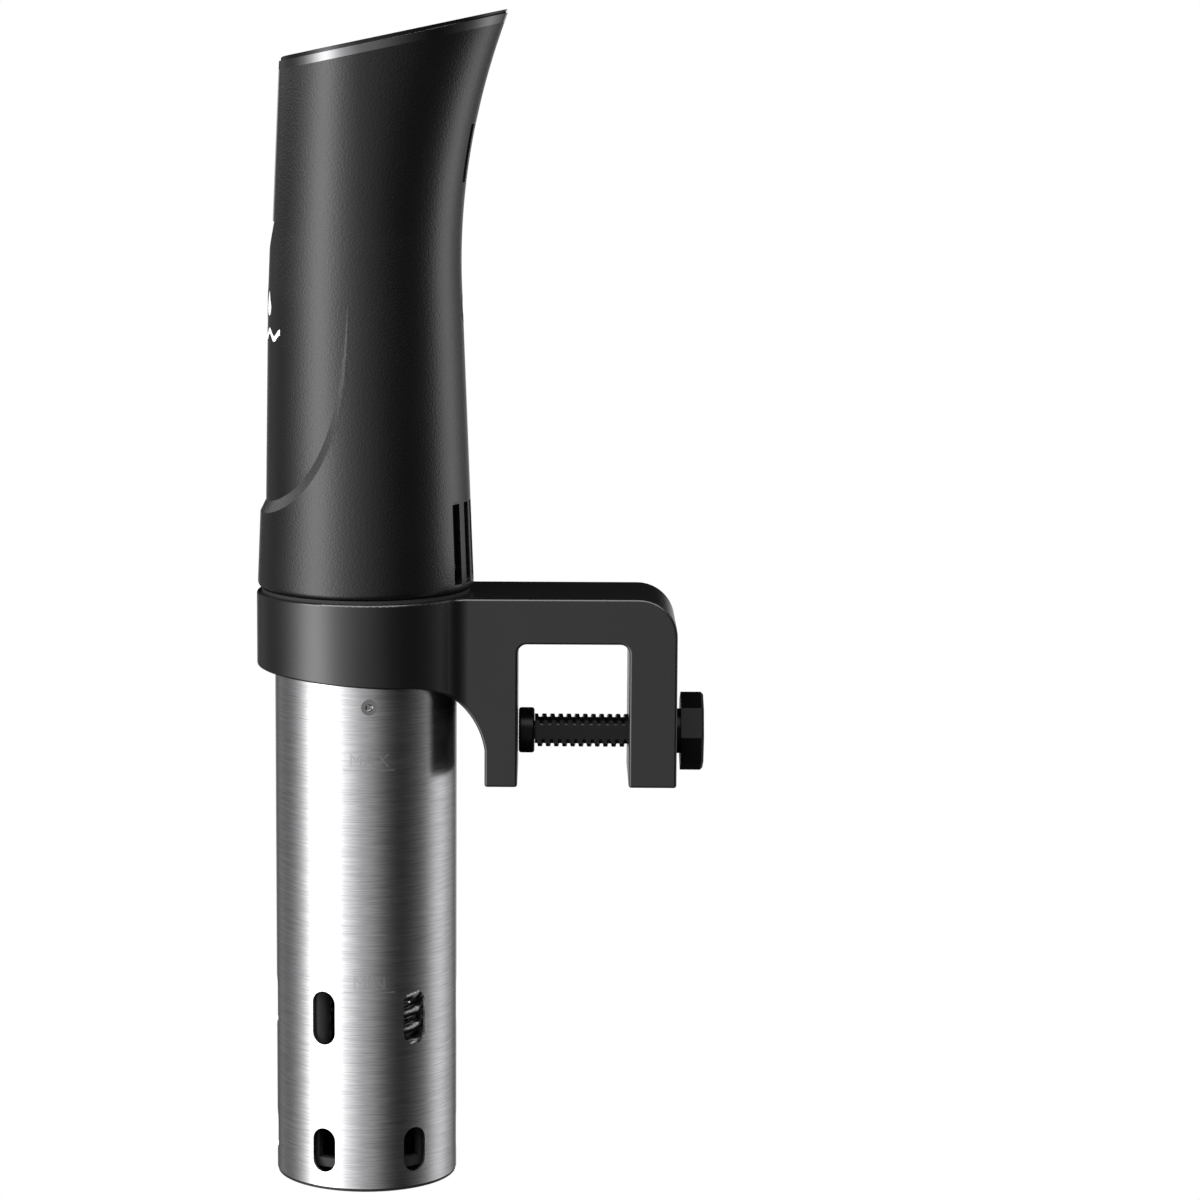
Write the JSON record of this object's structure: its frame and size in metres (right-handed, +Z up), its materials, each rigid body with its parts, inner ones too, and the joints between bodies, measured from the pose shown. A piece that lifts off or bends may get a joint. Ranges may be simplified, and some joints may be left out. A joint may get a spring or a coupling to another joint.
{
  "type": "sous vide circulator",
  "caption": "Immersion circulator with a slanted display head, a slotted steel skirt over its heater and pump, and a screw clamp for a pot's rim.",
  "frame": {"origin": "centre of the skirt's flat underside", "axes": "+Z up along the skirt and its drive shaft, +X towards the clamp arm"},
  "size_m": [0.1471, 0.0718, 0.3853],
  "materials": {
    "head_plastic": "fine-grained soft matte",
    "clamp_plastic": "smooth satin",
    "screw_plastic": "semi-gloss",
    "bezel_chrome": "polished",
    "display_gloss": "high gloss",
    "skirt_steel": "brushed round the tube",
    "bright_steel": "bright",
    "pump_plastic": "moulded",
    "seal_rubber": "matt",
    "board_green": "solder mask",
    "component_dark": "moulded",
    "sink_aluminium": "extruded",
    "motor_steel": "plated",
    "magnet_grey": "sintered",
    "bush_brass": "machined",
    "fan_plastic": "moulded"
  },
  "bodies": {
    "unit": {"head_housing": "head_plastic", "front_fascia": "display_gloss", "fascia_trim": "bezel_chrome", "display_bezel": "bezel_chrome", "display_glass": "display_gloss", "display_board": "board_green", "display_module": "component_dark", "power_board": "board_green", "heat_sink": "sink_aluminium", "power_components": "component_dark", "cable_gland": "seal_rubber", "motor_can": "motor_steel", "motor_magnets": "magnet_grey", "motor_bracket": "motor_steel", "shaft_seal": "seal_rubber", "base_plate": "bright_steel", "base_seal": "seal_rubber", "tube_socket": "pump_plastic", "assembly_screws": "bright_steel", "heater_coil": "bright_steel", "temperature_probe": "pump_plastic", "level_probes": "bright_steel", "support_rods": "bright_steel", "pump_housing": "pump_plastic", "lower_bush": "bush_brass", "clamp_body": "clamp_plastic"},
    "rotor": {"motor_core": "motor_steel", "motor_shaft": "bright_steel", "cooling_fan": "fan_plastic", "shaft_coupling": "bush_brass", "drive_shaft": "bright_steel", "impeller": "pump_plastic"},
    "skirt": {"skirt_tube": "skirt_steel", "skirt_lock_pins": "bright_steel", "skirt_end_cap": "pump_plastic"},
    "pad": {"clamp_pad": "screw_plastic"},
    "screw": {"clamp_screw": "screw_plastic", "clamp_knob": "screw_plastic", "knob_pin": "bright_steel"}
  },
  "joints": [
    {"name": "rotor_spin", "type": "hinge", "parent": "unit", "child": "rotor", "pos_m": [0, 0, 0.2], "axis": [0, 0, 1], "continuous": true},
    {"name": "skirt_twist", "type": "hinge", "parent": "unit", "child": "skirt", "pos_m": [0, 0, 0.16], "axis": [0, 0, 1], "range_deg": [0, 20]},
    {"name": "pad_slide", "type": "slide", "parent": "unit", "child": "pad", "axis": [1, 0, 0], "range_m": [0, 0.03]},
    {"name": "screw_turn", "type": "hinge", "parent": "pad", "child": "screw", "pos_m": [0.08, 0, 0.1495], "axis": [1, 0, 0], "range_deg": [0, 4000]}
  ],
  "couplings": [
    {"joint": "pad_slide", "follows": "screw_turn", "m_per_rad": 0.00042972}
  ]
}
